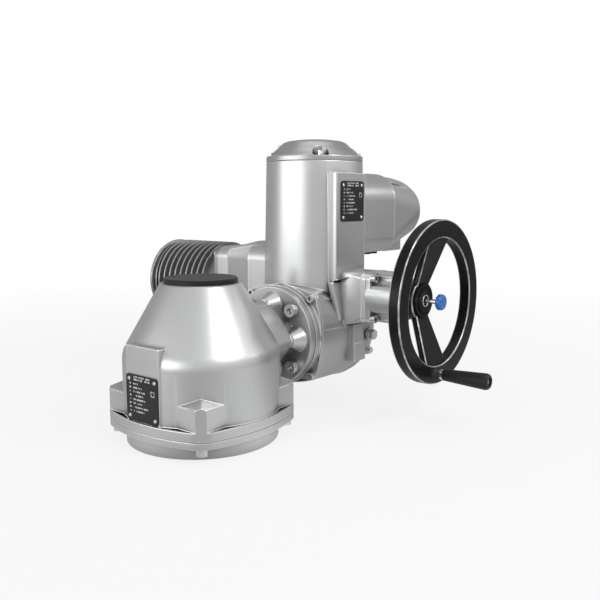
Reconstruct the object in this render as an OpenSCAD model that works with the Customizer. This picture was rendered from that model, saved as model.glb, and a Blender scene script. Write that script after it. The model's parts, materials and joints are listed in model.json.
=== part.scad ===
// Electric valve actuator: a multi-turn drive bolted to the side of a bevel gearbox.
// The origin is the centre of the valve mounting face. +Z runs up the valve axis,
// +Y along the drive's output shaft and +X along the worm shaft, towards the handwheel.

/* [Valve flange] */
// Diameter of the valve mounting flange
valve_flange_d = 175; // [165:1:182]
// Thickness of the round flange
valve_flange_t = 16; // [12:0.5:20]
// Bolt circle of the valve flange
valve_pcd = 140; // [132:1:146]
// Diameter of the four valve bolt holes
valve_hole_d = 16; // [12:0.5:20]
// Depth of the valve bolt holes
valve_hole_depth = 20; // [14:1:22]
// Bore of the drive sleeve that takes the valve stem
stem_bore_d = 60; // [50:1:62]
// Depth of the stem bore
stem_bore_depth = 80; // [60:1:95]
// Width of the keyway in the stem bore
keyway_w = 18; // [12:1:20]

/* [Bevel gearbox] */
// Diameter of the gearbox body
body_d = 180; // [176:0.5:184]
// Half width of the corner lugs, face to axis
lug_half = 78.6; // [77:0.2:81]
// Distance of the chamfered corners from the axis
corner_reach = 105.2; // [103:0.2:107]
// Distance of the bulged sides of the base from the axis
side_reach = 92.5; // [91.5:0.1:94]
// Thickness of the square plate of the base cover
base_plate_t = 8; // [6:0.5:10]
// Thickness of the flange of the gearbox housing
housing_flange_t = 10.6; // [8:0.2:14]
// Height of the corner lugs at their outer edges
lug_z = 58.6; // [50:0.2:64]
// Height of the input shaft above the valve flange
drive_z = 98.6; // [97.6:0.1:99.6]
// Half angle of the conical top
cone_angle = 30; // [29:0.25:31]
// Height of the top of the cone
cone_top_z = 178.5; // [177:0.5:181]
// Radius of the top of the cone
cone_top_r = 45.8; // [45:0.2:47]
// Wall of the gearbox housing
gearbox_wall = 7; // [6:0.25:8]
// Radius of the black stem cap
stem_cap_r = 42.2; // [40.5:0.1:44]
// Height of the black stem cap
stem_cap_h = 5.6; // [4:0.2:8]
// Half diagonal of the input neck
neck_ridge = 49; // [47:0.5:50]
// Half width of the nameplate pad
pad_half = 27; // [26.5:0.5:30]
// Distance of the nameplate pad's face from the axis
pad_reach = 88; // [87:0.25:89]
// Height of the top of the nameplate pad
pad_top_z = 117.5; // [112:0.5:120]
// Side of both nameplates
nameplate_w = 51; // [46:0.5:52]
// Thickness of both nameplates
nameplate_t = 1; // [0.8:0.1:1.5]

/* [Bevel gears] */
// Teeth of the bevel pinion
pinion_teeth = 16; // [14:1:18]
// Teeth of the crown wheel
crown_teeth = 32; // [28:1:36]
// Pitch radius of the crown wheel
crown_r = 60; // [58:0.5:61]
// Face width of both bevel gears
bevel_face = 18; // [14:0.5:18.5]
// Radius of the pinion shaft
pinion_shaft_r = 12.5; // [11:0.25:13]
// Radius of the drive sleeve at the crown wheel
sleeve_r = 41; // [40:0.25:41.25]
// Radius of the drive sleeve at the bearings
sleeve_neck_r = 34; // [33:0.25:36]

/* [Flanged joint] */
// Distance of the gearbox input face from the valve axis
joint_y = 134; // [130:0.5:138]
// Radius of the gearbox input flange
joint_r = 62.5; // [62:0.1:63.5]
// Thickness of the gearbox input flange
joint_flange_t = 10; // [8:0.5:12]
// Bolt circle of the joint
joint_pcd = 102; // [100:0.5:103]
// Radius of the round output flange of the drive
output_disc_r = 64; // [63:0.1:65]
// Thickness of the round output flange
output_disc_t = 9; // [7:0.5:11]
// Thickness of the square plate behind it
output_plate_t = 4; // [3:0.5:6]
// Distance of the plate's small screws, sideways and upwards
plate_screw_offset = 49.8; // [49:0.2:50.5]

/* [Drive housing] */
// Distance of the worm and column axis from the valve axis
column_y = 215; // [213:0.5:217]
// Height of the worm axis above the output axis
worm_rise = 49.4; // [49.2:0.1:50]
// Radius of the column at its top
column_top_r = 64.5; // [63:0.1:66]
// Radius of the column at its foot
column_foot_r = 67.9; // [66:0.1:67.9]
// Height of the joint under the column cover
column_top_z = 320.5; // [314:0.5:328]
// Height of the domed column cover
dome_h = 29; // [26:0.5:36]
// Wall of the castings of the drive
drive_wall = 7; // [6:0.5:8]
// Radius of the gear drum at its back
drum_r = 72.5; // [71:0.5:75]
// Distance of the drum's back face from the valve axis
drum_back_y = 285; // [282:1:292]
// Half width of the worm neck
neck_half = 31; // [30:0.5:33]
// Reach of the worm neck from the column axis
neck_x = 102; // [98:1:106]
// Thickness of the bearing cover's plate
worm_cover_t = 7; // [6:0.5:9]
// Radius of the bearing cover's drum
worm_cover_r = 33; // [31:0.5:34]
// Distance of the cover screws from the worm axis, both ways
cover_screw_offset = 25.6; // [25:0.1:26]
// Distance of the column's nameplate face from the axis
column_pad_x = 66; // [65.5:0.1:67]

/* [Worm gear] */
// Teeth of the worm wheel
wheel_teeth = 22; // [20:1:24]
// Pitch radius of the worm
worm_r = 15; // [15:0.1:15.4]
// Length of the worm thread
worm_length = 56; // [40:1:60]
// Face width of the worm wheel
wheel_face = 22; // [16:0.5:24]

/* [Motor] */
// Radius over the cooling fins
fin_r = 60.3; // [59:0.1:62]
// Radius of the motor barrel between the fins
barrel_r = 51; // [50:0.5:53]
// Number of cooling fins
fin_count = 9; // [7:1:9]
// Distance between cooling fins
fin_pitch = 11.6; // [10.5:0.1:12]
// Thickness of a fin at its tip
fin_tip = 2.6; // [2:0.1:4]
// Distance of the motor's closed end from the column axis
motor_end_x = 278; // [276:0.5:284]
// Distance of the motor's joint from the column axis
motor_joint_x = 130; // [128:0.5:134]
// Half width of the square motor flange
motor_flange_half = 57; // [55:0.5:59]
// Thickness of the motor flange
motor_flange_t = 8; // [6:0.5:10]
// Radius of the rotor
rotor_r = 33; // [30:0.5:34]

/* [Plug connector] */
// Height of the connector's axis
connector_z = 252.5; // [250:0.5:254]
// Half width of the connector
connector_half = 55.5; // [54:0.5:57]
// Distance of the connector's joint from the valve axis
connector_joint_y = 329; // [322:1:336]
// Length of the plug cover
plug_cover_l = 120; // [110:1:130]

/* [Handwheel] */
// Diameter of the handwheel
handwheel_d = 200; // [190:1:210]
// Width of the rim, from outside to inside
rim_w = 22.2; // [18:0.2:25]
// Thickness of the rim
rim_t = 14.5; // [12:0.5:17]
// Distance of the rim's front face from the column axis
rim_x = 191.8; // [190:0.2:196]
// Distance of the hub's front face from the column axis
hub_x = 168.9; // [167:0.2:170]
// Radius of the hub
hub_r = 25; // [24:0.5:27]
// Radius of the push rod
rod_r = 2.75; // [2.5:0.05:3]
// Radius of the push button
button_r = 9.8; // [8:0.1:11]
// Travel of the push button
button_travel = 6; // [4:0.5:7]
// Length of the revolving crank grip
grip_l = 59; // [50:1:66]
// Radius of the grip at its free end
grip_r = 10; // [9:0.1:11]

/* [Hidden] */
$fn = 64;
coarse = 24;
cast_grey = "#b4b6b8";
steel = "#c9ccd0";
bright_steel = "#dfe2e5";
bronze = "#b08d4a";
matt_black = "#26272a";
copper = "#b5682f";
eps = 0.01;
run_gap = 0.05;
valve_hole_r = valve_hole_d / 2;
housing_z = valve_flange_t + base_plate_t;
body_r = body_d / 2;
flange_top_z = housing_z + housing_flange_t;
shoulder_z = cone_top_z - (body_r - cone_top_r) / tan(cone_angle);
shoulder_fillet = 30;
fillet_run = shoulder_fillet * tan(cone_angle / 2);
fillet_centre_z = shoulder_z - fillet_run;
lug_slope = 28;
lug_roof_h = 9;
lug_roof_half = lug_half - lug_roof_h / tan(lug_slope);
side_sagitta = side_reach - lug_half;
side_r = (pow(lug_half - 8, 2) + pow(side_sagitta, 2)) / (2 * side_sagitta);
top_web_z = 148;
sleeve_bearing_h = 13;
sleeve_bearing_r = sleeve_neck_r + 6;
upper_bearing_z = cone_top_z - 7 - sleeve_bearing_h;
lower_bearing_z = valve_flange_t - 7;
lower_bearing_r = sleeve_r + 7;
sleeve_top_z = cone_top_z - 7;
sleeve_step_z = 112;
seal_h = 6;
cap_spigot_h = 5;
cap_spigot_r = sleeve_bearing_r - 2.2;
neck_end_y = joint_y - 26;
bevel_module = 2 * crown_r / crown_teeth;
pinion_r = bevel_module * pinion_teeth / 2;
bevel_cone_l = norm([crown_r, pinion_r]);
bevel_keep = (bevel_cone_l - bevel_face) / bevel_cone_l;
addendum_angle = atan(bevel_module / bevel_cone_l);
dedendum_angle = atan(1.25 * bevel_module / bevel_cone_l);
bevel_backlash = 0.1;
pinion_bearing_r = 26;
pinion_bearing_t = 15;
pinion_bearing_ys = [72, 102];
joint_hole_r = 5;
joint_head_r = 8;
joint_head_h = 10;
joint_front_y = joint_y - joint_flange_t;
plate_y = joint_y + output_disc_t;
drum_y = plate_y + output_plate_t;
worm_z = drive_z + worm_rise;
wheel_r = worm_rise - worm_r;
worm_starts = 2;
axial_module = 2 * wheel_r / wheel_teeth;
lead = PI * axial_module * worm_starts;
lead_angle = atan(lead / (2 * PI * worm_r));
shaft_seat_r = 20;
shaft_wheel_r = 24;
drive_bearing_r = 34;
drive_bearing_t = 14;
front_bearing_y = drum_y + 5;
rear_bearing_y = drum_back_y - 33;
drum_cavity_r = 54;
spigot_r = drum_cavity_r - 0.1;
spigot_depth = 20;
worm_seat_r = 10;
worm_bearing_r = 22;
worm_bearing_t = 14;
worm_bearing_x = 40;
motor_coupling_x = -100;
column_x = -2;
column_wall_r = column_top_r - drive_wall;
column_mouth_r = 53;
column_mouth_h = 20;
column_floor_z = worm_z + 42;
adapter_half = motor_flange_half + 1;
adapter_back_x = -111;
adapter_neck_x = -92;
adapter_neck_rise = 5.5;
adapter_neck_corner = 26;
stator_r = 46;
stator_gap = 0.6;
end_cover_t = 16;
bush_r = 14;
handwheel_shaft_r = 10;
cover_end_x = 145;
hub_back_x = 147;
rim_in = handwheel_d / 2 - rim_w;
rim_mid = handwheel_d / 2 - rim_w / 2;
spoke_hub_half = 13;
spoke_rim_half = 24;
spindle_r = 4;
collar_r = 6.5;
collar_l = 6;
grip_start_r = 7.2;
grip_x = rim_x + collar_l + 0.3;
button_x = rim_x - 4.5;
dome_rim_h = 7.5;
dome_seat_h = 6.5;
dome_screw_r = 58.5;
dome_bore_r = 44;
dome_steps = [
    [1, 0], [0.958, 0.17], [0.928, 0.277], [0.863, 0.426], [0.793, 0.562], [0.742, 0.7],
    [0.7, 0.81], [0.6, 0.91], [0.43, 0.975], [0, 1]];
connector_corner_r = 38;
connector_foot_r = 22;
connector_bore_r = connector_half - 15;
plug_rim_t = 5;
plug_rings = [
    [0.14, 0.98, 2], [0.5, 0.93, 3.5], [0.68, 0.89, 2.5], [0.82, 0.8, 1.5], [0.92, 0.65, 0],
    [0.98, 0.44, -2], [1, 0.24, -3]];
lid_screw_offset = (corner_reach - 9) * cos(45);
plate_z = flange_top_z + nameplate_w / 2 + 0.6;
oil_plug_y = 238;
oil_plug_z = 92;
earth_y = 244;
earth_z = 68.5;
plate_reach = 64.3;
plate_arc = 150;
cover_joint_x = neck_x + worm_cover_t;
plug_screw_offset = 38.5;
plug_screw_r = 2;
plug_screw_head_r = 3.5;
motor_screw_offset = 46;
entry_bottom_z = connector_z - connector_half;
entry_ys = [300, 317];
tunnel_x = -72;
rotor_shaft_r = 9;
rod_end_x = 84;

// Placing helpers: turn local Z onto an axis of the machine

module along_y(y, x = 0, z = drive_z) {
    translate([x, y, z]) rotate([-90, 0, 0]) children();
}

module along_x(x, y = column_y, z = worm_z) {
    translate([x, y, z]) rotate([0, 90, 0]) children();
}

module on_column(z) {
    translate([column_x, column_y, z]) children();
}

module at_corners(offset) {
    for (sx = [-1, 1], sy = [-1, 1]) translate([sx * offset, sy * offset, 0]) children();
}

// Shared shapes

module rounded_square(half, r) {
    square([2 * half, 2 * (half - r)], center = true);
    square([2 * (half - r), 2 * half], center = true);
    at_corners(half - r) circle(r);
}

module rounded_rectangle(long, wide, r) {
    square([2 * long, 2 * (wide - r)], center = true);
    square([2 * (long - r), 2 * wide], center = true);
    for (sx = [-1, 1], sy = [-1, 1]) translate([sx * (long - r), sy * (wide - r)]) circle(r);
}

module tube(outer_r, inner_r, h) {
    difference() {
        cylinder(r = outer_r, h = h);
        translate([0, 0, -1]) cylinder(r = inner_r, h = h + 2);
    }
}

module socket_screw(thread_r, length, head_r, head_h) {
    difference() {
        union() {
            cylinder(r = head_r, h = head_h);
            translate([0, 0, -length]) cylinder(r = thread_r, h = length + eps);
        }
        translate([0, 0, head_h * 0.45]) cylinder(r = head_r * 0.55, h = head_h, $fn = 6);
    }
}

module bearing_ring(inner_r, outer_r, t) {
    mid = (inner_r + outer_r) / 2;
    race = (outer_r - inner_r) * 0.16;
    difference() {
        tube(outer_r, inner_r, t);
        for (z = [-1, t - 1.2])
            translate([0, 0, z]) tube(mid + race, mid - race, 2.2);
    }
}

// Straight bevel gear with its pitch apex at the origin and its back facing down.
// Every tooth gap is a wedge that tapers towards the apex.
module bevel_gear(teeth, pitch_r, mate_r, back_profile, phase = 0) {
    pitch_angle = atan(pitch_r / mate_r);
    back = mate_r + 1.25 * bevel_module * sin(pitch_angle) + 2;
    reach = 1.6 * (1 - bevel_keep) * mate_r + 12;
    keep = (back - reach) / back;
    root = back * tan(pitch_angle - dedendum_angle);
    tip = back * tan(pitch_angle + addendum_angle) + 4;
    gap_half = 90 / teeth * (1 + bevel_backlash);
    root_half = gap_half - 52 / teeth;
    tip_half = gap_half + 76 / teeth;
    difference() {
        rotate_extrude() polygon(back_profile);
        for (i = [0 : teeth - 1])
            rotate(phase + i * 360 / teeth)
                translate([0, 0, -back])
                    linear_extrude(height = reach, scale = keep)
                        polygon([
                            root * [cos(root_half), sin(root_half)],
                            tip * [cos(tip_half), sin(tip_half)],
                            tip * [cos(tip_half), -sin(tip_half)],
                            root * [cos(root_half), -sin(root_half)]]);
    }
}

function bevel_tip(pitch_r, mate_r, keep) =
    keep * [pitch_r + bevel_module * mate_r / bevel_cone_l,
            -mate_r + bevel_module * pitch_r / bevel_cone_l];
function bevel_foot(pitch_r, mate_r, keep) =
    keep * [pitch_r - 1.5 * bevel_module * mate_r / bevel_cone_l,
            -mate_r - 1.5 * bevel_module * pitch_r / bevel_cone_l];

// Bevel gearbox

module base_side(side) {
    rotate(90 * side) translate([0, side_r - side_reach]) circle(side_r, $fn = 128);
}

module base_shape() {
    intersection() {
        base_side(0);
        base_side(1);
        base_side(2);
        base_side(3);
        rotate(45) square(2 * corner_reach, center = true);
    }
}

module lug_prism() {
    linear_extrude(lug_z) square(2 * lug_half, center = true);
    translate([0, 0, lug_z - eps])
        linear_extrude(lug_roof_h, scale = lug_roof_half / lug_half)
            square(2 * lug_half, center = true);
}

module corner_lugs() {
    intersection() {
        lug_prism();
        translate([0, 0, housing_z])
            linear_extrude(lug_z) rotate(45) square(2 * corner_reach, center = true);
    }
}

module gearbox_outer() {
    rotate_extrude($fn = 128)
        polygon(concat(
            [[0, housing_z], [body_r, housing_z]],
            [for (i = [0 : 5]) let (a = i * cone_angle / 5)
                [body_r - shoulder_fillet * (1 - cos(a)), fillet_centre_z + shoulder_fillet * sin(a)]],
            [[cone_top_r + 0.8, cone_top_z - 1.4], [cone_top_r - 0.6, cone_top_z], [0, cone_top_z]]));
}

module gearbox_cavity() {
    cone_in = gearbox_wall / cos(cone_angle);
    web_r = cone_top_r + (cone_top_z - top_web_z) * tan(cone_angle) - cone_in;
    rotate_extrude()
        polygon([
            [0, housing_z - 1], [body_r - gearbox_wall, housing_z - 1],
            [body_r - gearbox_wall, fillet_centre_z],
            [body_r - gearbox_wall - 3, shoulder_z],
            [web_r, top_web_z], [0, top_web_z]]);
}

module input_neck() {
    along_y(30) linear_extrude(neck_end_y - 30) neck_shape();
    along_y(60) cylinder(r = 36, h = joint_y - 60 - eps);
    along_y(joint_front_y) cylinder(r = joint_r, h = joint_flange_t);
    for (a = [0, 90, 180, 270]) neck_flare(a);
}

// A square set on its corner, its four sides bulged outwards.
module neck_shape() {
    bulge = 38.2;
    side_arc = 110;
    intersection() {
        neck_side(0, bulge, side_arc);
        neck_side(1, bulge, side_arc);
        neck_side(2, bulge, side_arc);
        neck_side(3, bulge, side_arc);
        circle(neck_ridge);
    }
}

module neck_side(side, bulge, side_arc) {
    rotate(45 + 90 * side) translate([bulge - side_arc, 0]) circle(side_arc, $fn = 128);
}

module neck_flare(angle) {
    along_y(neck_end_y - eps)
        rotate(angle) translate([neck_ridge - 8.5, 0, 0])
            cylinder(r1 = 8, r2 = 16, h = joint_front_y - neck_end_y + 2 * eps);
}

module gearbox_pad() {
    translate([-pad_half, -pad_reach, flange_top_z - eps])
        cube([2 * pad_half, pad_reach - 60, pad_top_z - flange_top_z]);
}

module pad_cut() {
    translate([-pad_half + 0.4, -pad_reach - 10, flange_top_z + 0.01])
        cube([2 * pad_half - 0.8, 10, pad_top_z]);
}

module gearbox_housing() color(cast_grey) difference() {
    union() {
        gearbox_outer();
        translate([0, 0, housing_z]) linear_extrude(housing_flange_t) base_shape();
        corner_lugs();
        gearbox_pad();
        input_neck();
    }
    difference() {
        gearbox_cavity();
        along_y(66) cylinder(r = pinion_bearing_r + 5, h = 40);
    }
    pad_cut();
    translate([0, 0, top_web_z - 1]) cylinder(r = sleeve_bearing_r, h = cone_top_z - top_web_z - 6);
    translate([0, 0, top_web_z]) cylinder(r = cap_spigot_r, h = cone_top_z);
    along_y(55) cylinder(r = pinion_bearing_r, h = joint_y - 54 - 18);
    along_y(55) cylinder(r = pinion_bearing_r - 6, h = joint_y);
    along_y(joint_front_y - 1)
        for (a = [45 : 90 : 315]) rotate(a)
            translate([joint_pcd / 2, 0, 0]) cylinder(r = joint_hole_r, h = joint_flange_t + 2);
    translate([0, 0, housing_z - 1])
        at_corners(lid_screw_offset) cylinder(r = 4, h = 17);
    on_gearbox_pad() rivet_holes();
}

module base_cover() color(cast_grey) difference() {
    union() {
        cylinder(d = valve_flange_d, h = valve_flange_t, $fn = 128);
        translate([0, 0, valve_flange_t]) linear_extrude(base_plate_t) base_shape();
        translate([0, 0, housing_z - eps]) cylinder(r = body_r - gearbox_wall - 0.1, h = 5);
    }
    translate([0, 0, -1]) cylinder(r = sleeve_r + 3, h = 40);
    translate([0, 0, lower_bearing_z]) cylinder(r = lower_bearing_r, h = 40);
    for (a = [45 : 90 : 315]) rotate(a)
        translate([valve_pcd / 2, 0, -1]) cylinder(r = valve_hole_r, h = valve_hole_depth + 1);
    at_corners(lid_screw_offset) translate([0, 0, valve_flange_t - 1]) cylinder(r = 4, h = 12);
}

module base_cover_screws() color(steel) {
    at_corners(lid_screw_offset) translate([0, 0, valve_flange_t])
        mirror([0, 0, 1]) socket_screw(4, 22, 6.5, 8);
}

module drive_sleeve() color(steel) difference() {
    union() {
        cylinder_between(sleeve_r - 3, 2, lower_bearing_z + eps);
        cylinder_between(sleeve_r, lower_bearing_z, sleeve_step_z);
        cylinder_between(sleeve_neck_r, sleeve_step_z - 1, sleeve_top_z);
    }
    translate([0, 0, -1]) cylinder(d = stem_bore_d, h = stem_bore_depth + 3);
    translate([0, 0, 2]) cylinder(r = 22, h = sleeve_top_z);
    translate([0, -keyway_w / 2, -1]) cube([stem_bore_d / 2 + 4.4, keyway_w, stem_bore_depth + 3]);
}

module cylinder_between(r, z0, z1) {
    translate([0, 0, z0]) cylinder(r = r, h = z1 - z0);
}

module crown_wheel() color(steel) translate([0, 0, drive_z]) difference() {
    bevel_gear(crown_teeth, crown_r, pinion_r, [
        [sleeve_r - 2, -pinion_r - 14], [crown_r - 8, -pinion_r - 14],
        bevel_foot(crown_r, pinion_r, 1), bevel_tip(crown_r, pinion_r, 1),
        bevel_tip(crown_r, pinion_r, bevel_keep), [sleeve_r - 2, -pinion_r * bevel_keep - 4]]);
    translate([0, 0, -pinion_r - 20]) cylinder(r = sleeve_r, h = pinion_r + 20);
}

module bevel_pinion() color(bright_steel) difference() {
    union() {
        along_y(0) rotate([180, 0, 0])
            bevel_gear(pinion_teeth, pinion_r, crown_r, [
                [0, -crown_r - 10], [pinion_shaft_r + 4, -crown_r - 10],
                bevel_foot(pinion_r, crown_r, 1), bevel_tip(pinion_r, crown_r, 1),
                bevel_tip(pinion_r, crown_r, bevel_keep),
                bevel_foot(pinion_r, crown_r, bevel_keep) - [2, 0],
                [0, -crown_r * bevel_keep - 0.5]], 180 / pinion_teeth);
        along_y(crown_r + 8) cylinder(r = pinion_shaft_r, h = 200 - crown_r - 8);
    }
    along_y(170, 0, drive_z + pinion_shaft_r) translate([-4, -1, 0]) cube([8, 5, 40]);
}

module pinion_bearings() color(steel) {
    for (y = pinion_bearing_ys)
        along_y(y) bearing_ring(pinion_shaft_r + run_gap, pinion_bearing_r, pinion_bearing_t);
}

module sleeve_bearings() color(steel) {
    translate([0, 0, upper_bearing_z])
        bearing_ring(sleeve_neck_r + run_gap, sleeve_bearing_r, sleeve_bearing_h);
    translate([0, 0, lower_bearing_z])
        bearing_ring(sleeve_r + run_gap, lower_bearing_r, sleeve_bearing_h);
}

module sleeve_seal() color(matt_black)
    translate([0, 0, lower_bearing_z - seal_h - 0.5])
        tube(sleeve_r + 3, sleeve_r - 3 + 0.4, seal_h);

module stem_cap() color(matt_black) difference() {
    union() {
        translate([0, 0, cone_top_z])
            rotate_extrude($fn = 96)
                polygon([[0, 0], [stem_cap_r, 0], [stem_cap_r, stem_cap_h - 1],
                         [stem_cap_r - 1, stem_cap_h], [0, stem_cap_h]]);
        cylinder_between(cap_spigot_r - 0.1, cone_top_z - cap_spigot_h, cone_top_z + eps);
    }
    cylinder_between(cap_spigot_r - 3, cone_top_z - cap_spigot_h - 1, cone_top_z + stem_cap_h - 3);
    translate([-stem_cap_r * 0.72, -stem_cap_r * 0.35, cone_top_z + stem_cap_h - 1]) cylinder(r = 2.2, h = 2);
}

module nameplate() {
    linear_extrude(nameplate_t) rounded_square(nameplate_w / 2, 4);
}

module plate_rivets() {
    at_corners(nameplate_w / 2 - 5) translate([0, 0, -3]) {
        cylinder(r = 1.2, h = 3 + nameplate_t, $fn = coarse);
        translate([0, 0, 3 + nameplate_t]) cylinder(r1 = 2.2, r2 = 1.4, h = 0.9, $fn = coarse);
    }
}

module rivet_holes() {
    at_corners(nameplate_w / 2 - 5) translate([0, 0, -3]) cylinder(r = 1.2, h = 6, $fn = coarse);
}

module on_gearbox_pad() {
    translate([0, -pad_reach, plate_z]) rotate([90, 0, 0]) children();
}

module on_column_pad() {
    translate([column_pad_x, 206, 269]) rotate([90, 0, 90]) children();
}

module gearbox_nameplate() color(matt_black) on_gearbox_pad() difference() {
    nameplate();
    rivet_holes();
}

module gearbox_rivets() color(bright_steel) on_gearbox_pad() plate_rivets();

module joint_screws() color(bright_steel) {
    along_y(joint_front_y) for (a = [45 : 90 : 315]) rotate(a)
        translate([joint_pcd / 2, 0, 0]) rotate([180, 0, 0]) rotate(a)
            socket_screw(joint_hole_r, joint_flange_t + output_disc_t + 1, joint_head_r, joint_head_h);
}

// Multi-turn drive

module plate_side(side) {
    rotate(90 * side) translate([plate_reach - plate_arc, 0]) circle(plate_arc, $fn = 96);
}

// A square with bulged sides and rounded corners, as wide as its screws need.
module plate_outline() {
    intersection() {
        plate_side(0);
        plate_side(1);
        plate_side(2);
        plate_side(3);
        circle(plate_screw_offset * sqrt(2) + 5.2, $fn = 96);
    }
}

module output_flange() color(cast_grey) difference() {
    union() {
        along_y(joint_y) cylinder(r = output_disc_r, h = output_disc_t, $fn = 128);
        along_y(plate_y) linear_extrude(output_plate_t) plate_outline();
        along_y(drum_y - eps) cylinder(r = spigot_r, h = spigot_depth);
    }
    along_y(joint_y - 1) cylinder(r = shaft_seat_r + 2, h = 60);
    along_y(front_bearing_y) cylinder(r = drive_bearing_r, h = 60);
    along_y(joint_y - 1) for (a = [45 : 90 : 315]) rotate(a)
        translate([joint_pcd / 2, 0, 0]) cylinder(r = joint_hole_r, h = output_disc_t + 3);
    along_y(joint_y - 1) at_corners(plate_screw_offset) cylinder(r = 3, h = 40);
    along_y(plate_y) at_corners(plate_screw_offset)
        mirror([0, 0, 1]) cylinder(r = 5.8, h = 20);
}

module output_flange_screws() color(bright_steel) {
    along_y(plate_y) at_corners(plate_screw_offset)
        rotate([180, 0, 0]) socket_screw(3, 18, 5, 6);
}

module drum_shape() {
    hull() {
        along_y(drum_y) linear_extrude(3) plate_outline();
        along_y(drum_back_y - 50) cylinder(r = drum_r - 0.8, h = 4, $fn = 72);
    }
    along_y(drum_back_y - 47)
        rotate_extrude($fn = 96)
            polygon(concat([[0, -3]], [for (i = [0 : 6]) let (a = i * 15)
                [drum_r - 26 + 26 * cos(a), 36 * sin(a)]], [[40, 47], [0, 47]]));
    along_y(drum_back_y - 20) cylinder(r = 40, h = 20);
}

module column_shape() {
    on_column(0) rotate_extrude($fn = 128)
        polygon([[0, drive_z], [column_foot_r, drive_z + 40], [column_foot_r, drive_z + 60],
                 [column_top_r, column_top_z], [0, column_top_z]]);
}

module worm_neck_shape() {
    along_x(0) linear_extrude(neck_x) rounded_square(neck_half, 8);
    hull() {
        translate([58, 0, 0]) rotate([90, 0, 90]) linear_extrude(6)
            polygon([[156, 166], [column_y + neck_half + 6, 172], [column_y + neck_half + 6, 108],
                     [161, 110]]);
        along_x(neck_x - 10) linear_extrude(4) rounded_square(neck_half + 0.4, 8);
    }
}

module adapter_neck_section() {
    translate([adapter_neck_rise, 0]) rounded_rectangle(59.5, 37, adapter_neck_corner);
}

module motor_adapter_shape() {
    along_x(-motor_joint_x) linear_extrude(motor_joint_x + adapter_back_x)
        rounded_square(adapter_half, 16);
    hull() {
        along_x(adapter_back_x - 1) linear_extrude(1) rounded_square(adapter_half - 1, 16, $fn = 32);
        along_x(adapter_neck_x) rotate(180) linear_extrude(1) adapter_neck_section();
    }
    along_x(adapter_neck_x) rotate(180) linear_extrude(-adapter_neck_x) adapter_neck_section();
}

module column_pad_shape() {
    translate([0, 0, 164]) linear_extrude(141) polygon([
        [20, 186], [column_pad_x - 6, 171.5], [column_pad_x - 1, 172.5], [column_pad_x, 174],
        [column_pad_x, 236], [20, 236]]);
}

// The connector's outline: round on top, squarer below.
module connector_section(half) {
    rounded_square(half, connector_corner_r);
    translate([-half, 0]) square([2 * half, half - connector_foot_r]);
    translate([connector_foot_r - half, 0]) square([2 * (half - connector_foot_r), half]);
    for (sx = [-1, 1]) translate([sx * (half - connector_foot_r), half - connector_foot_r])
        circle(connector_foot_r);
}

module connector_boss() {
    along_y(column_y, 0, connector_z)
        linear_extrude(connector_joint_y - column_y) connector_section(connector_half);
}

module drum_bosses() {
    translate([40, 200, 80]) cube([35, 22, 30]);
    translate([40, 200, 60]) cube([36, 26, 24]);
    along_x(40, oil_plug_y, oil_plug_z) cylinder(r = 9, h = 36);
    along_x(40, earth_y, earth_z) cylinder(r = 6.5, h = 29);
}

module drive_housing() color(cast_grey) difference() {
    union() {
        drum_shape();
        column_shape();
        worm_neck_shape();
        motor_adapter_shape();
        column_pad_shape();
        connector_boss();
        drum_bosses();
    }
    along_y(drum_y - 1) cylinder(r = drum_cavity_r, h = rear_bearing_y - drum_y - 4);
    along_y(drum_y) cylinder(r = drive_bearing_r, h = rear_bearing_y - drum_y + drive_bearing_t);
    along_y(drum_y) cylinder(r = 26, h = 200);
    along_x(tunnel_x) cylinder(r = worm_bearing_r, h = neck_x - tunnel_x + 1);
    along_x(-motor_joint_x - 1) cylinder(r = 30, h = motor_joint_x + tunnel_x + 2);
    on_column(column_floor_z)
        cylinder(r = column_wall_r, h = column_top_z - column_floor_z - column_mouth_h);
    on_column(column_floor_z) cylinder(r = column_mouth_r, h = 200);
    along_y(column_y, 0, connector_z) cylinder(r = connector_bore_r, h = 200);
    along_y(drum_y - 1) at_corners(plate_screw_offset) cylinder(r = 3, h = 16);
    along_x(neck_x - 14) at_corners(cover_screw_offset) cylinder(r = 3, h = 20);
    along_x(-motor_joint_x - 1) at_corners(motor_screw_offset) cylinder(r = 3, h = 16);
    along_y(connector_joint_y - 14, 0, connector_z) at_corners(plug_screw_offset)
        cylinder(r = plug_screw_r, h = 20);
    on_column(column_top_z - 16) for (a = [45 : 90 : 315]) rotate(a)
        translate([dome_screw_r, 0, 0]) cylinder(r = 2.5, h = 20);
    along_x(60, oil_plug_y, oil_plug_z) cylinder(r = 5, h = 20);
    along_x(58, earth_y, earth_z) cylinder(r = 2.5, h = 20);
    on_column_pad() rivet_holes();
}

module hollow_shaft() color(steel) difference() {
    union() {
        along_y(joint_y + 3) cylinder(r = shaft_seat_r - 0.05, h = drum_back_y - joint_y - 8);
        along_y(column_y - 20) cylinder(r = shaft_wheel_r, h = 40);
    }
    along_y(joint_y) cylinder(r = pinion_shaft_r, h = 200);
    along_y(joint_y) translate([-4, -pinion_shaft_r - 3, 0]) cube([8, 6, 66]);
}

module shaft_key() color(steel)
    translate([-4, 172, drive_z + pinion_shaft_r - 1]) cube([8, 28, 4]);

module worm_wheel() color(bronze) difference() {
    along_y(column_y - wheel_face / 2) tube(wheel_r + axial_module, shaft_wheel_r, wheel_face);
    root = wheel_r - 1.25 * axial_module;
    tip = wheel_r + axial_module + 1;
    gap_root = 2.4;
    gap_tip = 8.4;
    for (i = [0 : wheel_teeth - 1])
        translate([0, column_y, drive_z]) rotate([0, i * 360 / wheel_teeth, 0])
            rotate([0, 0, -lead_angle]) rotate([90, 0, 0])
                linear_extrude(2 * wheel_face, center = true)
                    polygon([[-gap_root / 2, root], [gap_root / 2, root],
                             [gap_tip / 2, tip], [-gap_tip / 2, tip]]);
}

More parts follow.
